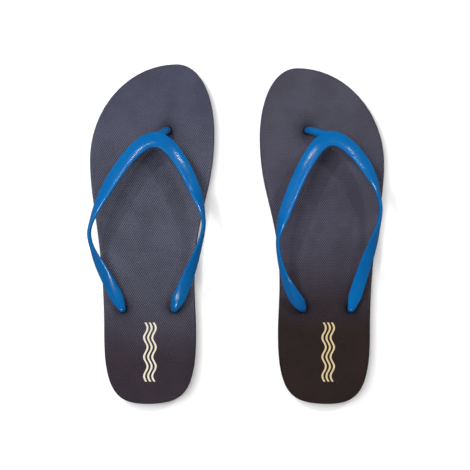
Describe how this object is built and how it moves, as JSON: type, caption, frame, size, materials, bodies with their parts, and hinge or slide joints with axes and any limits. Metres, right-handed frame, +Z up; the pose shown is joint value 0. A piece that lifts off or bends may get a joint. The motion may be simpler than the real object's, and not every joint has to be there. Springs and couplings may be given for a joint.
{
  "type": "flip flops",
  "caption": "Thong flip flops: layered foam soles with a textured footbed and one-piece moulded straps whose toe posts and rear stems pass through the sole.",
  "frame": {"origin": "centre of the pair's outer box, on the surface that the soles stand on", "axes": "+Z up, +Y towards the toes, +X towards the right foot's sandal"},
  "size_m": [0.2298, 0.265, 0.0483],
  "materials": {
    "footbed": "embossed foam, satin",
    "midsole": "closed-cell foam, matt",
    "outsole": "moulded tread, satin",
    "strap": "moulded soft PVC, semi-gloss"
  },
  "bodies": {
    "left_sandal": {"left_footbed": "footbed", "left_midsole": "midsole", "left_outsole": "outsole", "left_strap": "strap"},
    "right_sandal": {"right_footbed": "footbed", "right_midsole": "midsole", "right_outsole": "outsole", "right_strap": "strap"}
  },
  "joints": [
    {"name": "right_lift", "type": "slide", "parent": "left_sandal", "child": "right_sandal", "axis": [0, 0, 1], "range_m": [0, 0.1]}
  ]
}
